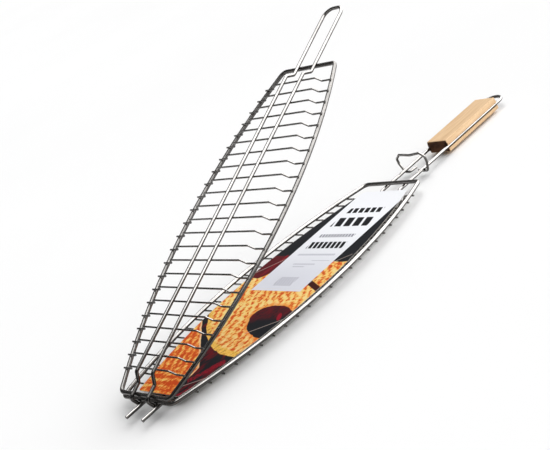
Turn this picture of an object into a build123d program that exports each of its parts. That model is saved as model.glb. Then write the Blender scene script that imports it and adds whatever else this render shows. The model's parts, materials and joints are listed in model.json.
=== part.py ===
from build123d import *
import math
import os

# Fish grill basket: two dished wire halves joined at a hinge bar, with a long
# wire handle, a wooden grip, a sliding wire clasp and a loose card insert.
#
# The pieces are laid out in hinge coordinates, in millimetres: the origin is
# the middle of the base's hinge bar, +X runs to the handle and +Z is up. The
# lid is laid out closed and then turned open. At the end everything moves to
# the part's frame, whose origin is at the bottom centre of the whole object.

# Rims, seen from above: straight end bars joined by long side arcs.
rim_length = 470.0
end_half_width = 51.0
middle_half_width = 94.5
corner_radius = 9.0
rim_wire_radius = 2.75

# Cross wires: flat ends welded outside the rim, then a step to the floor. They
# drift this far towards the nearer end of the basket, so they are closer there.
wires_per_half = 23
wire_pitch = 18.64
pitch_drift = 4.4
last_wire_x = 28.8
cross_wire_radius = 1.15
wire_overhang = 2.6
flat_end_length = 14.0
step_run = 6.0
step_depth = 7.2
step_bend_radius = 2.6

# Long rods: one bent wire in each half, welded outside the floor wires.
rod_radius = 2.25
rod_half_gap = 17.0
base_rod_shift = -5.0
lid_rod_shift = 0.0
rod_step_start = 13.0
rod_bend_radius = 4.0
base_stub_end = -28.0
base_loop_end = 715.75
base_loop_radius = 16.0
lid_loop_end = 564.0
lid_loop_radius = 13.0

# Spot welds sink one wire into the other by this much.
weld_sink = 0.2

# Hinge: hooks on the lid's rods turn round the base's hinge bar.
hinge_clearance = 0.3
lid_bar_x = 2.8
lid_rim_z = 5.9
rest_opening = 24.3
hook_shoulder_radius = 4.5
hook_roundness = 0.98
hook_tip_rise = 0.5

# Wooden grip on the base's handle rods, measured from the rods' centre lines.
grip_start = 570.5
grip_end = 692.0
grip_top = 10.2
grip_shoulder = 4.4
grip_bottom = -7.6
grip_top_half_width = 17.8
grip_shoulder_half_width = 19.4
grip_bottom_half_width = 18.8
grip_edge_radius = 1.2
grip_end_bevel = 0.7
groove_clearance = 0.05

# Wire clasp that slides along the handle and goes over the lid's rods.
clasp_x = 515.0
clasp_wire_radius = 1.75
clasp_clearance = 0.4
clasp_top = 18.2
clasp_dip = 2.0
clasp_dip_bend_radius = 14.0
clasp_top_half_width = 19.2
clasp_knee_half_width = 26.5
clasp_knee_low = 4.5
clasp_knee_high = 12.5
clasp_bend_radius = 2.5
clasp_tail = 12.0

# Card insert that lies on the shoulders of the base's cross wires.
card_inset = 15.5
card_end_inset = 16.0
card_thickness = 0.6
card_corner_radius = 4.0
card_lift_gap = 0.4

# Heights that follow from the wires' own thicknesses, measured outwards from
# the middle plane of a rim.
flat_wire_level = rim_wire_radius + cross_wire_radius - weld_sink
floor_wire_level = flat_wire_level + step_depth
handle_rod_level = rim_wire_radius + rod_radius - weld_sink
floor_rod_level = floor_wire_level + cross_wire_radius + rod_radius - weld_sink
hook_radius = rim_wire_radius + rod_radius + hinge_clearance

# The object stands on the base's floor rods.
standing_depth = floor_rod_level + rod_radius
middle_x = (base_stub_end + base_loop_end + rod_radius) / 2


def half_width(x):
    """Half the rim's width at x, on the arc through its ends and its middle."""
    rise = middle_half_width - end_half_width
    half_length = rim_length / 2
    arc_radius = (half_length**2 + rise**2) / (2 * rise)
    along = x - half_length
    return middle_half_width - arc_radius + math.sqrt(arc_radius**2 - along**2)


def outline(inset, end_inset, fillet_radius):
    """A face inside the rim's outline: two straight ends and two side arcs."""
    near = end_inset
    far = rim_length - end_inset
    end = half_width(near) - inset
    middle = middle_half_width - inset
    sides = Curve() + [
        Line((near, -end), (near, end)),
        ThreePointArc((near, end), (rim_length / 2, middle), (far, end)),
        Line((far, end), (far, -end)),
        ThreePointArc((far, -end), (rim_length / 2, -middle), (near, -end)),
    ]
    face = make_face(sides)
    return fillet(face.vertices(), fillet_radius)


def round_wire(path, radius):
    """Solid wire of the given radius along a path."""
    start = Plane(origin=path @ 0, z_dir=path % 0)
    return sweep(start * Circle(radius), path=path)


def bent_wire(points, bends, radius):
    """Wire through the points, with a bend radius for each inner point."""
    return round_wire(FilletPolyline(*points, radius=bends), radius)


def rim():
    """Closed ring of thick wire, level with its own middle plane."""
    ring = outline(0, 0, corner_radius).faces()[0].outer_wire()
    return round_wire(ring, rim_wire_radius)


def cross_wire_place(step):
    """Where a cross wire stands, counted from the hinge."""
    share = step / (wires_per_half - 1)
    drift = pitch_drift * math.sin(2 * math.pi * share)
    return last_wire_x + wire_pitch * step - drift


def cross_wire(x, side):
    """Dished cross wire at x, below the rim for side -1 and above it for 1."""
    end = half_width(x) + wire_overhang
    shoulder = half_width(x) - flat_end_length
    foot = shoulder - step_run
    flat = side * flat_wire_level
    floor = side * floor_wire_level
    points = [
        (x, -end, flat),
        (x, -shoulder, flat),
        (x, -foot, floor),
        (x, foot, floor),
        (x, shoulder, flat),
        (x, end, flat),
    ]
    return bent_wire(points, [step_bend_radius] * 4, cross_wire_radius)


def rod_run(y, side, far_x):
    """Points of one long rod from just inside the hinge bar to the handle."""
    step = floor_rod_level - handle_rod_level
    outer = side * handle_rod_level
    floor = side * floor_rod_level
    return [
        (rod_step_start, y, outer),
        (rod_step_start + step, y, floor),
        (rim_length - rod_step_start - step, y, floor),
        (rim_length - rod_step_start, y, outer),
        (far_x, y, outer),
    ]


def bent_pair(left, right, end_bends, loop_radius, radius):
    """One wire: up the left run, round the handle loop and back on the right."""
    points = left + right[::-1]
    steps = [rod_bend_radius] * 4
    bends = end_bends + steps + [loop_radius] * 2 + steps + end_bends[::-1]
    return bent_wire(points, bends, radius)


def base_handle_rod():
    """Base's long wire: two free stubs, floor rods, handle rods and end loop."""
    runs = []
    for y in (base_rod_shift + rod_half_gap, base_rod_shift - rod_half_gap):
        stub = (base_stub_end, y, -handle_rod_level)
        runs.append([stub] + rod_run(y, -1, base_loop_end))
    return bent_pair(runs[0], runs[1], [], base_loop_radius, rod_radius)


def lid_handle_rod():
    """Lid's long wire: a hook round the hinge bar at each end, and a bare loop."""
    runs = []
    for y in (lid_rod_shift + rod_half_gap, lid_rod_shift - rod_half_gap):
        level = lid_rim_z + handle_rod_level
        hook = [
            (hook_radius, y, hook_tip_rise),
            (hook_radius, y, -hook_radius),
            (-hook_radius, y, -hook_radius),
            (-hook_radius, y, level),
        ]
        run = [(x + lid_bar_x, y, z + lid_rim_z) for x, y, z in rod_run(y, 1, lid_loop_end)]
        runs.append(hook + run)
    round_bend = hook_radius * hook_roundness
    hook_bends = [round_bend, round_bend, hook_shoulder_radius]
    return bent_pair(runs[0], runs[1], hook_bends, lid_loop_radius, rod_radius)


def handle_grip():
    """Wooden grip: a six-sided bar with a groove for the rod along each side."""
    corners = [
        (grip_top_half_width, grip_top),
        (grip_shoulder_half_width, grip_shoulder),
        (grip_bottom_half_width, grip_bottom),
    ]
    mirrored = [(-y, z) for y, z in corners[::-1]]
    section = Plane.YZ * make_face(Polyline(*corners, *mirrored, close=True))
    bar = extrude(section, grip_end - grip_start)
    bar = fillet(bar.edges().filter_by(Axis.X), grip_edge_radius)
    ends = bar.faces().sort_by(Axis.X)
    bar = chamfer(ends[0].edges() + ends[-1].edges(), grip_end_bevel)
    groove_radius = rod_radius + groove_clearance
    for side in (-1, 1):
        slot_width = grip_shoulder_half_width
        slot = Pos(side * slot_width / 2, 0) * Rectangle(slot_width, 2 * groove_radius)
        groove = Plane.YZ * Pos(side * rod_half_gap, 0) * (Circle(groove_radius) + slot)
        bar -= extrude(groove, grip_end - grip_start)
    return Pos(grip_start, base_rod_shift, -handle_rod_level) * bar


def clasp():
    """Wire bail: hooks under both handle rods, bulging legs and a dipped top."""
    wrap = rod_radius + clasp_wire_radius + clasp_clearance
    under = -handle_rod_level - wrap
    inner = rod_half_gap - wrap
    leg = [
        (0, inner, under),
        (0, rod_half_gap + wrap, under),
        (0, clasp_knee_half_width, clasp_knee_low),
        (0, clasp_knee_half_width, clasp_knee_high),
        (0, clasp_top_half_width, clasp_top),
    ]
    # One cut end turns along the handle, and the other points across it.
    tail_along = (clasp_tail, inner - rod_radius, under)
    tail_across = (0, rod_half_gap - clasp_tail, under + clasp_wire_radius)
    dip = (0, 0, clasp_top - clasp_dip)
    left = [tail_along] + leg
    right = [(x, -y, z) for x, y, z in [tail_across] + leg]
    points = [(clasp_x + x, base_rod_shift + y, z) for x, y, z in left + [dip] + right[::-1]]
    bends = [clasp_bend_radius, wrap] + [clasp_bend_radius] * 3
    return bent_wire(points, bends + [clasp_dip_bend_radius] + bends[::-1], clasp_wire_radius)


def insert_card():
    """Loose card, cut to the basket's outline."""
    slope = math.atan2(step_depth, step_run)
    drop = (card_inset - flat_end_length) * math.tan(slope)
    top_of_wire = cross_wire_radius / math.cos(slope) - flat_wire_level - drop
    sheet = extrude(outline(card_inset, card_end_inset, card_corner_radius), card_thickness)
    return Pos(0, 0, top_of_wire + card_lift_gap) * sheet


def in_lid(piece):
    """Move a lid piece from its rim's plane onto the closed basket."""
    return Pos(lid_bar_x, 0, lid_rim_z) * piece


wire_places = [cross_wire_place(step) for step in range(wires_per_half)][::-1]

base_pieces = {
    "base_rim": rim(),
    "base_handle_rod": base_handle_rod(),
    "handle_grip": handle_grip(),
    "clasp": clasp(),
    "insert_card": insert_card(),
}
lid_pieces = {
    "lid_rim": in_lid(rim()),
    "lid_handle_rod": lid_handle_rod(),
}
for number, x in enumerate(wire_places, start=1):
    base_pieces[f"base_cross_wire_{number:02d}"] = cross_wire(x, -1)
    lid_pieces[f"lid_cross_wire_{number:02d}"] = in_lid(cross_wire(x, 1))

open_lid = Rotation(0, -rest_opening, 0)
to_part_frame = Pos(-middle_x, 0, standing_depth)

os.makedirs("parts", exist_ok=True)
for name, piece in base_pieces.items():
    export_step(to_part_frame * piece, f"parts/{name}.step")
for name, piece in lid_pieces.items():
    export_step(to_part_frame * open_lid * piece, f"parts/{name}.step")

print("hinge axis at", -middle_x, 0, standing_depth)
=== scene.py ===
import json
import math
import random

import bmesh
import bpy
from mathutils import Matrix, Quaternion, Vector


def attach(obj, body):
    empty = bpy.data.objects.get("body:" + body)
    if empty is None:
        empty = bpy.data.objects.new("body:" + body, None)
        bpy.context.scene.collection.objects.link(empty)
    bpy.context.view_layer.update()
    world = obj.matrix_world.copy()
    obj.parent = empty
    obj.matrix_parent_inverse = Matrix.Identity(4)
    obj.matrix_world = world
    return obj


# Looks of the fish grill basket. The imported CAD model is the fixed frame: this
# script gives its nodes their materials, adds the spot welds, and sets the
# floor, the light and the camera. Lengths are in metres unless a name says mm.

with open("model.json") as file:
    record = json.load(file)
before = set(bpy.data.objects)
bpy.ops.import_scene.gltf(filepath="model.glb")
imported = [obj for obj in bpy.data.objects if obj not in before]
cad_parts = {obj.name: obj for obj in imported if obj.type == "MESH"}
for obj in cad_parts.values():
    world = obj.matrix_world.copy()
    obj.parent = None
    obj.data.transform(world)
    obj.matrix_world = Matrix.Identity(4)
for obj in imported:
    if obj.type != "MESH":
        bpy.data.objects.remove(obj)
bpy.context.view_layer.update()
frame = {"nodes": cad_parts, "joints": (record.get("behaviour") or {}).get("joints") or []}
nodes = frame["nodes"]
hinge = next(joint for joint in frame["joints"] if joint["name"] == "lid_hinge")
hinge_point = Vector(hinge["pos_m"])
lid_opening = math.radians(-hinge["range_deg"][0])

# Where the camera stands: it aims at a point, from a direction and a distance,
# and leans to one side.
camera_aim = Vector((-0.125, -0.072, 0.110))
camera_distance = 1.4
camera_azimuth = math.radians(-34.16)
camera_elevation = math.radians(19.07)
camera_lean = math.radians(-27.7)
camera_lens_mm = 78.4

# The studio's one light: the direction of its middle, the cosines at its soft
# edge, and how bright it is and how bright everything else is.
light_from = Vector((0.68, -0.33, 0.66))
light_edge = (0.46, 0.72)
light_glow = 2.5
dim_glow = 0.08

floor_half_side = 40.0

# The wires' painted shade on the underside: the upward part of the normal where it has
# not begun and where it is full. Near the hinge it reaches further round the wire.
painted_shade_edge = (0.22, -0.06)
hinge_shade_length = 0.25
hinge_shade_reach = 0.62

# Spot welds: a nugget's half size along X, Y and Z, the least and greatest share
# of it that a nugget has, how far it is turned and how uneven its surface is.
weld_half_size = Vector((0.0015, 0.0017, 0.0008))
weld_share = (0.85, 1.15)
weld_turn = 0.3
weld_unevenness = 0.00006
# How far the cross wires reach past the rim's middle line, and the rods' radius.
wire_overhang = 0.0026
rod_radius = 0.00225

# Colours are linear.
steel_light = (0.66, 0.64, 0.62)
steel_dark = (0.42, 0.405, 0.39)
steel_stain = (0.16, 0.12, 0.09)
# Painted shade: the dark of the wires' underside and of the hinge end.
steel_painted_shade = (0.09, 0.086, 0.082)
weld_dark = (0.13, 0.115, 0.10)
weld_light = (0.26, 0.25, 0.24)
wood_pale = (0.80, 0.56, 0.325)
wood_grain = (0.62, 0.385, 0.195)
wood_pore = (0.50, 0.29, 0.14)
# Painted shade: the dark brown of the grip's end faces.
wood_end_painted_shade = (0.120, 0.048, 0.018)
wood_end_ring_painted_shade = (0.060, 0.024, 0.011)
label_white = (0.88, 0.89, 0.92)
label_shade = (0.70, 0.71, 0.77)
ink_black = (0.010, 0.010, 0.012)
ink_grey = (0.30, 0.30, 0.34)
ink_pale = (0.50, 0.50, 0.56)
charcoal = (0.012, 0.013, 0.016)
burgundy = (0.13, 0.007, 0.012)
ember_red = (0.27, 0.008, 0.020)
gap_brown = (0.05, 0.009, 0.008)
meat_orange = (0.82, 0.23, 0.036)
meat_red = (0.60, 0.070, 0.012)
meat_yellow = (0.90, 0.60, 0.16)
meat_pale = (0.88, 0.66, 0.27)
meat_edge = (0.90, 0.62, 0.33)
fat_yellow = (0.78, 0.42, 0.05)
fat_brown = (0.34, 0.10, 0.012)
grate_light = (0.62, 0.50, 0.44)
board_grey = (0.50, 0.47, 0.42)
board_pale = (0.58, 0.55, 0.50)
floor_grey = (0.86, 0.86, 0.86)
floor_white = (0.90, 0.90, 0.90)


class Value:
    """A number in a material's node tree, which arithmetic turns into nodes."""

    def __init__(self, tree, socket):
        self.tree = tree
        self.socket = socket

    def join(self, operation, *others):
        """The result of a Math node's operation on this number and others."""
        node = self.tree.nodes.new("ShaderNodeMath")
        node.operation = operation
        for socket, value in zip(node.inputs, (self, *others)):
            self.tree.put(socket, value)
        return Value(self.tree, node.outputs[0])

    def __add__(self, other):
        return self.join("ADD", other)

    def __sub__(self, other):
        return self.join("SUBTRACT", other)

    def __mul__(self, other):
        return self.join("MULTIPLY", other)

    def __rsub__(self, other):
        return (self * -1.0) + other

    def least(self, other):
        return self.join("MINIMUM", other)

    def most(self, other):
        return self.join("MAXIMUM", other)

    def size(self):
        """The number without its sign."""
        return self.join("ABSOLUTE")

    def step(self, low, high):
        """0 at low, 1 at high, smooth in between and level past both."""
        node = self.tree.nodes.new("ShaderNodeMapRange")
        node.interpolation_type = "SMOOTHSTEP"
        for socket, value in zip(node.inputs, (self, low, high, 0.0, 1.0)):
            self.tree.put(socket, value)
        return Value(self.tree, node.outputs[0])


class Tree:
    """One material and its nodes."""

    def __init__(self, name):
        self.material = bpy.data.materials.new(name)
        self.material.use_nodes = True
        self.nodes = self.material.node_tree.nodes
        self.shader = self.nodes["Principled BSDF"]
        self.place = self.nodes.new("ShaderNodeTexCoord")

    def put(self, socket, value):
        """Link the value to the socket, or set the socket to a constant."""
        if isinstance(value, Value):
            value = value.socket
        if isinstance(value, bpy.types.NodeSocket):
            self.material.node_tree.links.new(value, socket)
        elif isinstance(value, tuple) and len(socket.default_value) == 4:
            socket.default_value = (*value, 1.0)
        else:
            socket.default_value = value

    def set(self, **values):
        """Set the shader's own sockets, named with _ for a space."""
        for name, value in values.items():
            self.put(self.shader.inputs[name.replace("_", " ")], value)

    def axes(self, output):
        """The three parts of one of the texture coordinates."""
        node = self.nodes.new("ShaderNodeSeparateXYZ")
        self.put(node.inputs[0], self.place.outputs[output])
        return [Value(self, socket) for socket in node.outputs]

    def point(self, x, y, z):
        """A place made of three numbers."""
        node = self.nodes.new("ShaderNodeCombineXYZ")
        for socket, value in zip(node.inputs, (x, y, z)):
            self.put(socket, value)
        return node.outputs[0]

    def noise(self, where, scale, detail, rough):
        """Smooth noise from 0 to 1, about 0.5 on average."""
        node = self.nodes.new("ShaderNodeTexNoise")
        self.put(node.inputs["Vector"], where)
        node.inputs["Scale"].default_value = scale
        node.inputs["Detail"].default_value = detail
        node.inputs["Roughness"].default_value = rough
        return Value(self, node.outputs[0])

    def mix(self, factor, low, high):
        """The colour low where factor is 0, and high where it is 1."""
        node = self.nodes.new("ShaderNodeMix")
        node.data_type = "RGBA"
        self.put(node.inputs[0], factor)
        self.put(node.inputs[6], low)
        self.put(node.inputs[7], high)
        return node.outputs[2]

    def bump(self, height, depth, strength):
        """Roughen the surface by a height, which is depth metres where it is 1."""
        node = self.nodes.new("ShaderNodeBump")
        node.inputs["Distance"].default_value = depth
        node.inputs["Strength"].default_value = strength
        self.put(node.inputs["Height"], height)
        self.put(self.shader.inputs["Normal"], node.outputs[0])


def plated_steel(name, stretch, roughness, painted_shade_share=0.0):
    """Bright plated wire: drawing lines along it, faint stains, and painted shade on its
    underside that reaches further round the wire near the hinge. The lines run along
    the axes that have a small stretch, and the last argument darkens the upper side
    with painted shade."""
    tree = Tree(name)
    here = tree.place.outputs["Object"]
    x, y, z = tree.axes("Object")
    along = tree.point(x * stretch[0], y * stretch[1], z * stretch[2])
    lines = tree.noise(along, scale=900.0, detail=4.0, rough=0.6)
    cloud = tree.noise(here, scale=38.0, detail=3.0, rough=0.55)
    speck = tree.noise(here, scale=420.0, detail=2.0, rough=0.5)
    base = tree.mix((cloud + lines * 0.5).step(0.50, 0.95), steel_dark, steel_light)
    # Painted shade: the whole wire is darkened by the share given.
    base = tree.mix(painted_shade_share, base, steel_painted_shade)
    # Painted shade: the underside is darkened, and near the hinge the shade reaches further round
    # the wire.
    reach = (x - hinge_point.x).step(hinge_shade_length, 0.0) * hinge_shade_reach
    under = (tree.axes("Normal")[2] - reach).step(*painted_shade_edge)
    base = tree.mix(under, base, steel_painted_shade)
    stained = (speck + cloud * 0.5).step(0.86, 1.02) * 0.5
    tree.set(Base_Color=tree.mix(stained, base, steel_stain), Metallic=1.0)
    tree.set(Roughness=lines * 0.14 + cloud * 0.08 + (roughness - 0.10))
    tree.bump(lines * 0.7 + speck * 0.3, depth=0.00006, strength=0.3)
    return tree.material


def weld_metal():
    """Dull, slightly burnt metal of the spot welds."""
    tree = Tree("weld_metal")
    here = tree.place.outputs["Object"]
    grain = tree.noise(here, scale=700.0, detail=4.0, rough=0.6)
    cloud = tree.noise(here, scale=90.0, detail=2.0, rough=0.5)
    base = tree.mix(cloud.step(0.35, 0.65), weld_dark, weld_light)
    tree.set(Base_Color=base, Metallic=1.0, Roughness=grain * 0.25 + 0.24)
    tree.bump(grain, depth=0.00015, strength=0.5)
    return tree.material


def grip_wood():
    """Pale waxed hardwood with straight grain, and end faces with rings, painted dark brown as
    shade.
    """
    tree = Tree("grip_wood")
    x, y, z = tree.axes("Object")
    drift_place = tree.point(x * 6.0, y * 30.0, z * 30.0)
    drift = tree.noise(drift_place, scale=1.0, detail=3.0, rough=0.5)
    band_place = tree.point(x * 1.2, y * 34.0 + drift * 1.4, z * 34.0 + drift * 1.4)
    bands = tree.noise(band_place, scale=5.0, detail=4.0, rough=0.55)
    fibre_place = tree.point(x * 26.0, y * 900.0, z * 900.0)
    fibre = tree.noise(fibre_place, scale=1.0, detail=5.0, rough=0.6)
    pore_place = tree.point(x * 90.0, y * 2400.0, z * 2400.0)
    pores = tree.noise(pore_place, scale=1.0, detail=2.0, rough=0.5).step(0.63, 0.72)
    tone = (bands * 0.75 + fibre * 0.45).step(0.42, 0.80)
    side = tree.mix(tone * 0.75, wood_pale, wood_grain)
    side = tree.mix(pores * 0.35, side, wood_pore)
    ring_place = tree.point(x, y * 60.0, z * 190.0 + y * 90.0)
    rings = tree.noise(ring_place, scale=1.0, detail=4.0, rough=0.6)
    # Painted shade: the end faces get a dark brown for the shade on them.
    end = tree.mix(rings.step(0.4, 0.6), wood_end_painted_shade, wood_end_ring_painted_shade)
    is_end = tree.axes("Normal")[0].size().step(0.80, 0.92)
    tree.set(Base_Color=tree.mix(is_end, side, end))
    tree.set(Roughness=fibre * 0.18 + is_end * 0.35 + 0.42, Specular_IOR_Level=0.35)
    tree.bump(fibre * 0.6 - pores * 0.8, depth=0.00012, strength=0.5)
    return tree.material


# The card's print is laid out in millimetres: along runs from the hinge bar
# towards the handle, and across runs over the card's width, towards +Y. A point
# on the card is written (along, across).
# How soft the edges are: a rectangle's, and a stroke's along its side and ends.
edge_softness = 0.2
stroke_softness = 0.35
stroke_end_softness = 1.0

# Dark ground: where its embers end, a hot band (its middle and half size along,
# then across), and glowing strokes (both ends and the width).
ember_end = 280.0
hot_band = (272.0, 26.0, 66.0, 24.0)
ember_strokes = [
    ((43.0, -27.0), (82.0, -56.0), 9.0),
    ((14.0, -36.0), (36.0, -50.0), 8.0),
    ((252.0, 60.0), (300.0, 50.0), 5.0),
]
ember_waver = 9.0
gap_stroke = ((242.0, -47.0), (224.0, -86.0), 8.0)
# Thin light lines across the dark places: both ends, and the width of them all.
grate_lines = [
    ((255.0, 80.0), (294.0, 44.0)),
    ((284.0, -52.0), (302.0, -72.0)),
    ((134.0, -35.0), (166.0, -76.0)),
    ((33.0, -28.0), (52.0, -55.0)),
]
grate_line_width = 0.9

# Upper fillet: its lower edge is a curve over the card's width, in three terms
# from the square down. Its top is level, and nearer the hinge by the step on the
# +Y side.
upper_edge_terms = (0.00425, 0.4925, 106.0)
upper_fillet_top = 286.0
upper_fillet_step = 39.0
upper_stripe_pitch = 12.5
upper_rung_pitch = 8.4
fat_depth = 9.0

# Hole in the upper fillet, and the ember in it: middle, half sizes and tilt.
hole_oval = ((160.0, -57.0), 47.0, 28.0, math.radians(66.0))
hole_ember = ((170.0, -64.0), 9.0, 3.5, math.radians(35.0))

# Lower fillet: a point on each of its two straight edges, and their slopes.
lower_top_point = (85.0, -2.0)
lower_top_slope = 0.9
lower_side_point = (43.0, -24.0)
lower_side_slope = 0.12
lower_level_pitch = 11.6
lower_slant_pitch = 12.0
pale_edge_depth = 4.5

# White label, and where it turns from its shade to white.
label_start = 221.0
label_half_length = 150.0
label_middle = -2.5
label_half_width = 48.5
label_fade = (240.0, 360.0)
# Rows of plain blocks stand where printing goes: the row's place along the
# card, half its height, its middle and half width, the pitch of its blocks, ink.
block_rows = [
    (406.0, 6.0, -3.0, 33.0, 11.3, ink_black),
    (378.0, 10.5, -3.0, 36.0, 17.4, ink_black),
    (345.0, 3.6, -3.0, 34.0, 5.6, ink_grey),
    (323.0, 7.5, -3.0, 35.0, 8.6, ink_black),
    (301.0, 2.0, -4.0, 36.0, 3.4, ink_pale),
    (287.8, 0.5, -0.5, 41.5, 200.0, ink_pale),
    (279.5, 1.4, -1.0, 21.0, 4.4, ink_pale),
    (274.0, 1.2, 5.0, 12.0, 4.4, ink_pale),
    (241.5, 9.5, -3.0, 17.5, 5.0, ink_pale),
]
block_lean = 0.3
block_half_share = 0.36
block_softness = 0.4


class Card:
    """A place on the card, and the noises and plain shapes of its print."""

    def __init__(self, tree):
        self.tree = tree
        x, y, _ = tree.axes("Object")
        self.along = (x - hinge_point.x) * 1000.0
        self.across = y * 1000.0
        spot = tree.point(self.along, self.across, 0.0)
        slanted = tree.point(self.along * 0.5 + self.across * 0.3, self.across * 0.9, 0.0)
        self.wobble = tree.noise(spot, scale=0.055, detail=3.0, rough=0.55) - 0.5
        self.warp = tree.noise(spot, scale=0.022, detail=3.0, rough=0.6) - 0.5
        self.patch = tree.noise(spot, scale=0.040, detail=3.0, rough=0.6)
        self.fine = tree.noise(spot, scale=0.32, detail=4.0, rough=0.6)
        self.flake = tree.noise(slanted, scale=0.22, detail=4.0, rough=0.6)

    def rectangle(self, centre_along, half_along, centre_across, half_across):
        """1 inside a rectangle, with slightly soft edges."""
        past_end = (self.along - centre_along).size() - half_along
        past_side = (self.across - centre_across).size() - half_across
        return past_end.most(past_side).step(edge_softness, -edge_softness)

    def oval(self, centre, long_half, short_half, tilt):
        """The square of how far out a place is in a tilted oval: 1 at its edge."""
        cos_tilt = math.cos(tilt)
        sin_tilt = math.sin(tilt)
        out = self.along - centre[0]
        up = self.across - centre[1]
        long_way = (out * cos_tilt + up * sin_tilt) * (1.0 / long_half)
        short_way = (up * cos_tilt - out * sin_tilt) * (1.0 / short_half)
        return long_way * long_way + short_way * short_way

    def stroke(self, start, end, width, waver=0.0):
        """1 on a stroke between two points, straight or wavering."""
        run = Vector(end) - Vector(start)
        length = run.length
        out = self.along + self.wobble * waver - start[0]
        up = self.across + self.wobble * waver - start[1]
        forward = (out * run.x + up * run.y) * (1.0 / length)
        sideways = (up * run.x - out * run.y) * (1.0 / length)
        on_line = (sideways.size() - width / 2).step(stroke_softness, -stroke_softness)
        from_start = forward.step(-stroke_end_softness, stroke_end_softness)
        to_end = (length - forward).step(-stroke_end_softness, stroke_end_softness)
        return on_line * from_start * to_end

    def searing(self, stripes, patchiness):
        """Stripes roughened with noise: low is pale meat, and high is seared."""
        flakes = (self.flake - 0.5) * patchiness
        return stripes + flakes + (self.patch - 0.5) * 1.6 + (self.fine - 0.5) * 1.6 + 0.1


def repeated(way, pitch):
    """1 at every pitch along the way, falling evenly to 0 midway between."""
    return ((way * (1.0 / pitch)).join("FRACT") - 0.5).size() * 2.0


def dark_ground(card):
    """Dark ground with dim embers."""
    tree = card.tree
    glow_place = tree.point(card.along * 0.30 + card.across * 0.22, card.across * 0.5, 3.0)
    glow = tree.noise(glow_place, scale=0.11, detail=3.0, rough=0.6)
    ground = tree.mix(glow.step(0.52, 0.66), charcoal, burgundy)
    ground = tree.mix((ember_end - card.along).step(0.0, 30.0), charcoal, ground)
    hot = card.rectangle(*hot_band) * (card.fine * 0.5 + 0.5)
    ground = tree.mix(hot, ground, burgundy)
    for start, end, width in ember_strokes:
        lit = card.stroke(start, end, width, ember_waver)
        ground = tree.mix(lit * card.fine.step(0.35, 0.6), ground, ember_red)
    return ground


def fillet_hole(card, meat):
    """The meat with a hole in it, dark inside and more orange round its edge."""
    tree = card.tree
    out = card.oval(*hole_oval) + card.wobble * 0.35
    meat = tree.mix(out.step(1.45, 1.15) * 0.6, meat, meat_orange)
    height = card.along + card.across * 0.25 + card.wobble * 16.0
    glow = height.step(146.0, 164.0) * card.flake.step(0.30, 0.62)
    inside = tree.mix(glow * 0.8, charcoal, burgundy)
    inside = tree.mix(card.oval(*hole_ember).step(1.2, 0.6), inside, ember_red)
    return tree.mix(out.step(1.03, 0.97), meat, inside)


def upper_fillet(card, picture):
    """The picture with the larger fillet: seared stripes, a fatty edge, a hole."""
    tree = card.tree
    along, across, wobble, fine, flake = card.along, card.across, card.wobble, card.fine, card.flake
    square, linear, constant = upper_edge_terms
    depth = along - (across * across * square + across * linear + constant + wobble * 5.0)
    top = upper_fillet_top - across.step(20.0, 60.0) * upper_fillet_step
    inside = depth.step(-0.5, 0.5) * (top - along + wobble * 8.0).step(-0.5, 0.5)

    # The stripes slant more and more towards the handle. Rungs cross them.
    slope = (along - 40.0).step(0.0, 240.0) * 0.42 + 0.22
    stripe_way = across - (along - 170.0) * slope + wobble * 9.0 + card.warp * 22.0
    rung_way = along + across * 0.06 + wobble * 12.0 + card.warp * 30.0
    stripe = repeated(stripe_way, upper_stripe_pitch)
    rung = repeated(rung_way, upper_rung_pitch)
    sear = card.searing(stripe * 0.75 + (rung - 0.5) * 0.4, 2.6)

    meat = tree.mix(sear.step(-0.05, 0.45), meat_pale, meat_yellow)
    meat = tree.mix(sear.step(0.30, 0.85), meat, meat_orange)
    meat = tree.mix((sear + fine * 0.6).step(0.85, 1.35) * 0.9, meat, meat_red)

    # It is redder towards the hinge, and has a band of fat along its lower edge.
    heat = (190.0 - along).step(0.0, 100.0) * flake.step(0.35, 0.7) * 0.7
    meat = tree.mix(heat, meat, meat_red)
    in_fat = depth.step(-0.5, 1.0) * (fat_depth - depth + wobble * 6.0).step(-1.0, 1.0)
    fat = tree.mix(fine.step(0.35, 0.7), fat_yellow, meat_yellow)
    fat = tree.mix(flake.step(0.50, 0.66) * 0.7, fat, fat_brown)
    meat = tree.mix(in_fat, meat, fat)
    return tree.mix(inside, picture, fillet_hole(card, meat))


def lower_fillet(card, picture):
    """The picture with the smaller fillet: level stripes at its tip, then slanted."""
    tree = card.tree
    along, across, wobble = card.along, card.across, card.wobble
    top_along, top_across = lower_top_point
    side_along, side_across = lower_side_point
    top = (across - top_across) * lower_top_slope + top_along + wobble * 5.0
    side = (along - side_along) * lower_side_slope + side_across + wobble * 4.0
    depth = (top - along).least((across - side) * 1.4)

    level = repeated(along + across * 0.08 + wobble * 14.0, lower_level_pitch)
    slant = repeated(across - along * 0.55 + wobble * 10.0, lower_slant_pitch)
    blend = along.step(48.0, 66.0)
    sear = card.searing((slant * blend + level * (1.0 - blend)) * 0.75, 2.4)

    meat = tree.mix(sear.step(-0.15, 0.35), meat_yellow, meat_orange)
    meat = tree.mix((sear + card.fine * 0.5).step(0.45, 1.0), meat, meat_red)
    meat = tree.mix((pale_edge_depth - depth).step(0.0, 3.0) * 0.75, meat, meat_edge)
    return tree.mix(depth.step(-0.5, 0.5), picture, meat)


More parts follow.
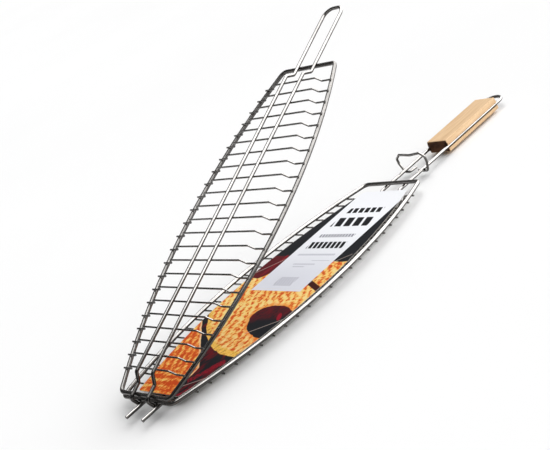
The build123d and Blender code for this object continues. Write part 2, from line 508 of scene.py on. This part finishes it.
def white_label(card, picture):
    """The picture with the white label, and plain blocks where printing goes."""
    tree = card.tree
    label_centre = label_start + label_half_length
    inside = card.rectangle(label_centre, label_half_length, label_middle, label_half_width)
    surface = tree.mix(card.along.step(*label_fade), label_shade, label_white)
    leaned = card.across - (card.along - label_start) * block_lean
    for centre, half_height, middle, half_width, pitch, ink in block_rows:
        row = card.rectangle(centre, half_height, middle, half_width)
        beat = (leaned * (1.0 / pitch)).join("FRACT")
        edge = block_softness / pitch
        blocks = (beat - 0.5).size().step(block_half_share + edge, block_half_share - edge)
        surface = tree.mix(row * blocks, surface, ink)
    return tree.mix(inside, picture, surface)


def card_print():
    """Printed card: a white label, dark bands, and a generic grilled-fish picture."""
    tree = Tree("card_print")
    card = Card(tree)
    picture = upper_fillet(card, dark_ground(card))
    picture = tree.mix(card.stroke(*gap_stroke), picture, gap_brown)
    picture = lower_fillet(card, picture)
    for start, end in grate_lines:
        line = card.stroke(start, end, grate_line_width)
        picture = tree.mix(line * 0.8, picture, grate_light)
    picture = white_label(card, picture)
    board = tree.mix(card.fine, board_grey, board_pale)
    printed = tree.axes("Normal")[2].step(0.45, 0.55)
    tree.set(Base_Color=tree.mix(printed, board, picture))
    tree.set(Roughness=0.75 - printed * 0.2 + card.fine * 0.05, Specular_IOR_Level=0.08)
    tree.bump(card.fine, depth=0.00003, strength=0.4)
    return tree.material


def floor_material():
    """Pale matt studio floor."""
    tree = Tree("studio_floor")
    cloud = tree.noise(tree.place.outputs["Object"], scale=1.3, detail=3.0, rough=0.5)
    tree.set(Base_Color=tree.mix(cloud, floor_grey, floor_white))
    tree.set(Roughness=1.0, Specular_IOR_Level=0.0)
    return tree.material


def paint(node, material, slot):
    """Give a CAD node one material."""
    node.data.materials.clear()
    node.data.materials.append(material)


def paint_frame():
    """Give every CAD node its material."""
    ring_stretch = (0.12, 0.3, 1.0)
    across_wire = plated_steel("steel_cross_wire", (1.0, 0.03, 1.0), roughness=0.22)
    long_wire = plated_steel("steel_rod", (0.03, 1.0, 1.0), roughness=0.18)
    ring_wire = plated_steel("steel_rim", ring_stretch, roughness=0.20)
    # The lid rim is a darker copy of the rim, darkened by painted shade.
    lid_ring_wire = plated_steel("steel_lid_rim", ring_stretch, roughness=0.24, painted_shade_share=0.55)
    clasp_wire = plated_steel("steel_clasp", (1.0, 0.3, 0.3), roughness=0.16)
    kinds = {
        "cross_wire": (across_wire, "cross_wire"),
        "lid_rim": (lid_ring_wire, "rim_wire"),
        "base_rim": (ring_wire, "rim_wire"),
        "handle_rod": (long_wire, "rod_wire"),
        "clasp": (clasp_wire, "clasp_wire"),
        "handle_grip": (grip_wood(), "grip_wood"),
        "insert_card": (card_print(), "card_print"),
    }
    for name, node in nodes.items():
        kind = next(word for word in kinds if word in name)
        paint(node, *kinds[kind])


def lid_turn(opening):
    """The lid's turn about the hinge, from closed to open by this much."""
    there = Matrix.Translation(hinge_point)
    turn = Matrix.Rotation(-opening, 4, "Y")
    return there @ turn @ there.inverted()


def flat_box(name, turn):
    """A node's box once its mesh is turned, such as to close the lid."""
    points = [turn @ vertex.co for vertex in nodes[name].data.vertices]
    low = Vector(min(point[axis] for point in points) for axis in range(3))
    high = Vector(max(point[axis] for point in points) for axis in range(3))
    return low, high


def nugget(mesh, centre, seed):
    """One flattened, slightly uneven weld nugget."""
    size = Matrix.Diagonal((*(weld_half_size * seed.uniform(*weld_share)), 1.0))
    spin = Matrix.Rotation(seed.uniform(-weld_turn, weld_turn), 4, "Z")
    place = Matrix.Translation(centre) @ spin @ size
    made = bmesh.ops.create_icosphere(mesh, subdivisions=2, radius=1.0, matrix=place)
    for vertex in made["verts"]:
        vertex.co += Vector(seed.uniform(-1, 1) for _ in range(3)) * weld_unevenness


def spot_welds(half, side, turn, material):
    """The nuggets where a half's cross wires meet its rim and its rods.

    They sit under the rim for side -1 and over it for 1, once turn has laid the
    half flat. The turn is undone at the end.
    """
    seed = random.Random(half)
    mesh = bmesh.new()
    rim_low, rim_high = flat_box(f"{half}_rim", turn)
    rod_low, rod_high = flat_box(f"{half}_handle_rod", turn)
    for name in sorted(node for node in nodes if node.startswith(f"{half}_cross_wire")):
        low, high = flat_box(name, turn)
        x = (low.x + high.x) / 2
        rim_face = rim_low.z if side < 0 else rim_high.z
        rod_face = low.z if side < 0 else high.z
        places = [
            (low.y + wire_overhang, rim_face),
            (high.y - wire_overhang, rim_face),
            (rod_low.y + rod_radius, rod_face),
            (rod_high.y - rod_radius, rod_face),
        ]
        for y, z in places:
            nugget(mesh, (x, y, z), seed)
    mesh.transform(turn.inverted())
    data = bpy.data.meshes.new(f"{half}_spot_welds")
    mesh.to_mesh(data)
    mesh.free()
    data.polygons.foreach_set("use_smooth", [True] * len(data.polygons))
    data.materials.append(material)
    piece = bpy.data.objects.new(f"{half}_spot_welds", data)
    bpy.context.scene.collection.objects.link(piece)
    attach(piece, half)


def studio_floor():
    """Large flat floor under the object."""
    side = floor_half_side
    corners = [(-side, -side, 0.0), (side, -side, 0.0), (side, side, 0.0), (-side, side, 0.0)]
    data = bpy.data.meshes.new("studio_floor")
    data.from_pydata(corners, [], [(0, 1, 2, 3)])
    data.materials.append(floor_material())
    floor = bpy.data.objects.new("studio_floor", data)
    bpy.context.scene.collection.objects.link(floor)


def studio_light():
    """One very wide soft light, high over the handle side, and dim elsewhere."""
    world = bpy.data.worlds.new("studio")
    bpy.context.scene.world = world
    world.use_nodes = True
    world_nodes = world.node_tree.nodes
    links = world.node_tree.links
    direction = world_nodes.new("ShaderNodeTexCoord")
    towards = world_nodes.new("ShaderNodeVectorMath")
    towards.operation = "DOT_PRODUCT"
    towards.inputs[1].default_value = light_from
    glow = world_nodes.new("ShaderNodeMapRange")
    glow.interpolation_type = "SMOOTHSTEP"
    for socket, value in zip(glow.inputs[1:], (*light_edge, dim_glow, light_glow)):
        socket.default_value = value
    links.new(direction.outputs["Generated"], towards.inputs[0])
    links.new(towards.outputs["Value"], glow.inputs[0])
    links.new(glow.outputs[0], world_nodes["Background"].inputs["Strength"])
    world_nodes["Background"].inputs["Color"].default_value = (1.0, 1.0, 1.0, 1.0)


def studio_camera():
    """Camera at the named place, turned level at first and then leaned."""
    back = Vector((
        math.sin(camera_azimuth) * math.cos(camera_elevation),
        -math.cos(camera_azimuth) * math.cos(camera_elevation),
        math.sin(camera_elevation),
    ))
    data = bpy.data.cameras.new("camera")
    data.lens = camera_lens_mm
    data.sensor_width = 36.0
    data.clip_start = 0.01
    data.clip_end = 200.0
    camera = bpy.data.objects.new("camera", data)
    camera.location = camera_aim + back * camera_distance
    camera.rotation_mode = "QUATERNION"
    level = (-back).to_track_quat("-Z", "Y")
    camera.rotation_quaternion = level @ Quaternion((0.0, 0.0, 1.0), camera_lean)
    bpy.context.scene.collection.objects.link(camera)
    bpy.context.scene.camera = camera


paint_frame()
welds = weld_metal()
spot_welds("base", -1, Matrix.Identity(4), welds)
spot_welds("lid", 1, lid_turn(-lid_opening), welds)
studio_floor()
studio_light()
studio_camera()
bpy.context.scene.view_settings.view_transform = "Standard"
